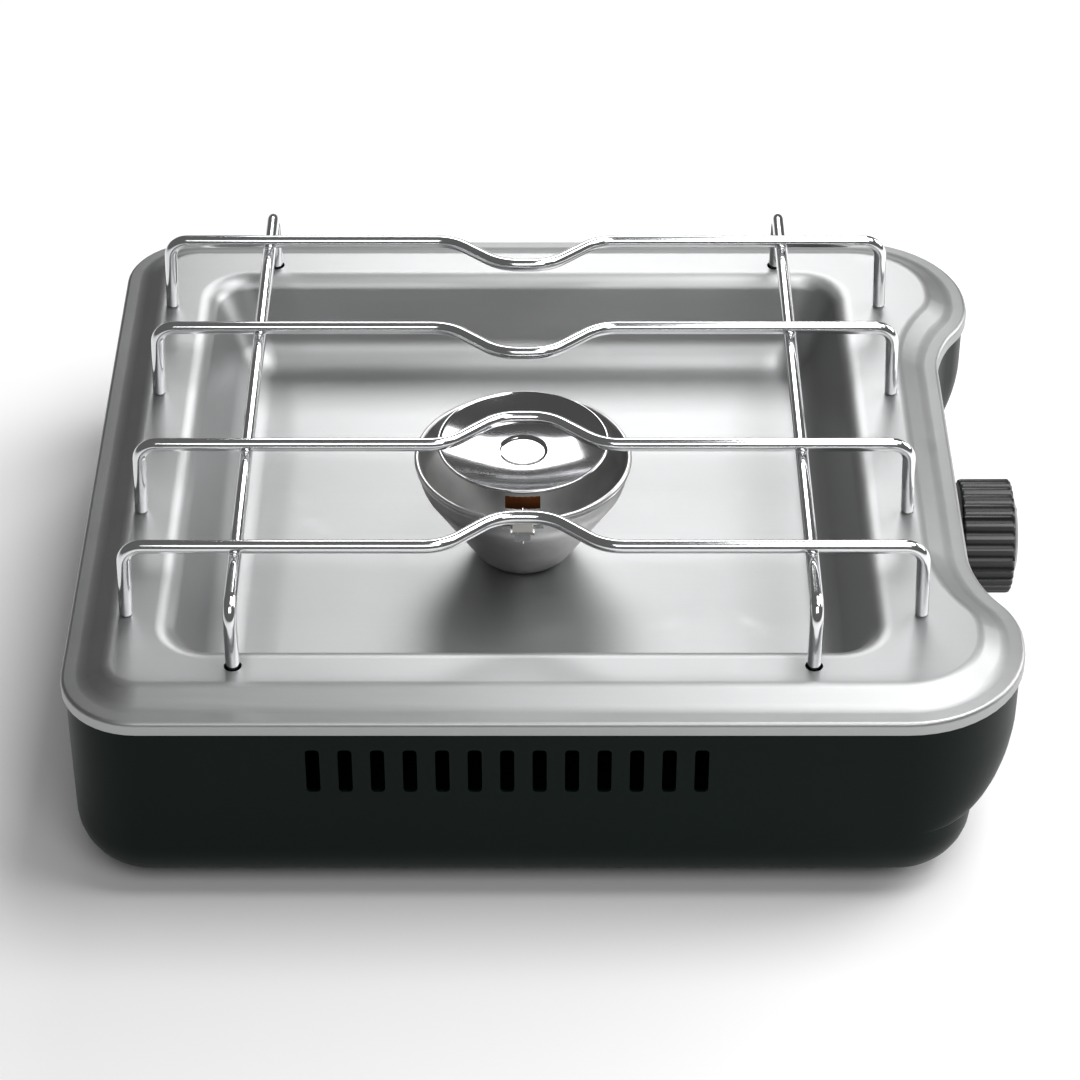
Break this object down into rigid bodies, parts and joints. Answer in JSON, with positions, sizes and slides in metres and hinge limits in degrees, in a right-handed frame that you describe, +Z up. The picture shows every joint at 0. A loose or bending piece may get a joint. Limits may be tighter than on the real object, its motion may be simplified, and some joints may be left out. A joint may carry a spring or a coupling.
{
  "type": "camping stove",
  "caption": "Table-top gas camping stove: dark steel tub with air slots, satin drip tray, lift-off chrome wire grate, round burner in the well and a side knob.",
  "frame": {"origin": "on the ground under the middle of the grate", "axes": "+X towards the knob side, -Y towards the front with the air slots, +Z up"},
  "size_m": [0.3556, 0.3237, 0.1235],
  "materials": {
    "tub_paint": "satin enamel paint, very dark green",
    "tray_steel": "satin silver coat on sheet steel",
    "chrome_wire": "bright chrome plate",
    "burner_bright": "mirror-bright stainless",
    "burner_satin": "satin aluminised steel",
    "ceramic": "unglazed white ceramic",
    "knob_plastic": "matt black moulded plastic",
    "face_plastic": "satin black plastic insert",
    "pointer_white": "white plastic line",
    "black_rubber": "matt rubber",
    "zinc_steel": "zinc-plated steel",
    "brass": "machined brass",
    "copper_tube": null,
    "igniter_plastic": "black plastic housing"
  },
  "bodies": {
    "stove": {"base_shell": "tub_paint", "rubber_feet": "black_rubber", "foot_screws": "zinc_steel", "drip_tray": "tray_steel", "tray_posts": "zinc_steel", "post_screws": "zinc_steel", "burner_cap": "burner_bright", "burner_ring": "burner_bright", "burner_bowl": "burner_satin", "burner_neck": "burner_satin", "neck_nut": "zinc_steel", "electrode_ceramic": "ceramic", "electrode_pin": "zinc_steel", "electrode_clip": "zinc_steel", "mixing_tube": "burner_satin", "gas_jet": "brass", "valve_body": "brass", "valve_bracket": "zinc_steel", "bracket_screws": "zinc_steel", "shaft_bush": "igniter_plastic", "feed_tube": "copper_tube", "tube_nuts": "brass", "inlet_fitting": "brass", "inlet_nut": "zinc_steel", "igniter": "igniter_plastic"},
    "grate": {"rod_front_outer": "chrome_wire", "rod_front_inner": "chrome_wire", "rod_rear_inner": "chrome_wire", "rod_rear_outer": "chrome_wire", "rail_left": "chrome_wire", "rail_right": "chrome_wire"},
    "plunger": {"push_sleeve": "zinc_steel"},
    "knob": {"valve_stem": "zinc_steel", "knob": "knob_plastic", "knob_face": "face_plastic", "knob_pointer": "pointer_white"}
  },
  "joints": [
    {"name": "grate_lift", "type": "slide", "parent": "stove", "child": "grate", "axis": [0, 0, 1], "range_m": [0, 0.05]},
    {"name": "knob_push", "type": "slide", "parent": "stove", "child": "plunger", "axis": [-1, 0, 0], "range_m": [0, 0.003], "stiffness_N_per_m": 1200, "springref_m": -0.002},
    {"name": "knob_turn", "type": "hinge", "parent": "plunger", "child": "knob", "pos_m": [0.17, 0, 0.049], "axis": [1, 0, 0], "range_deg": [0, 240]}
  ]
}
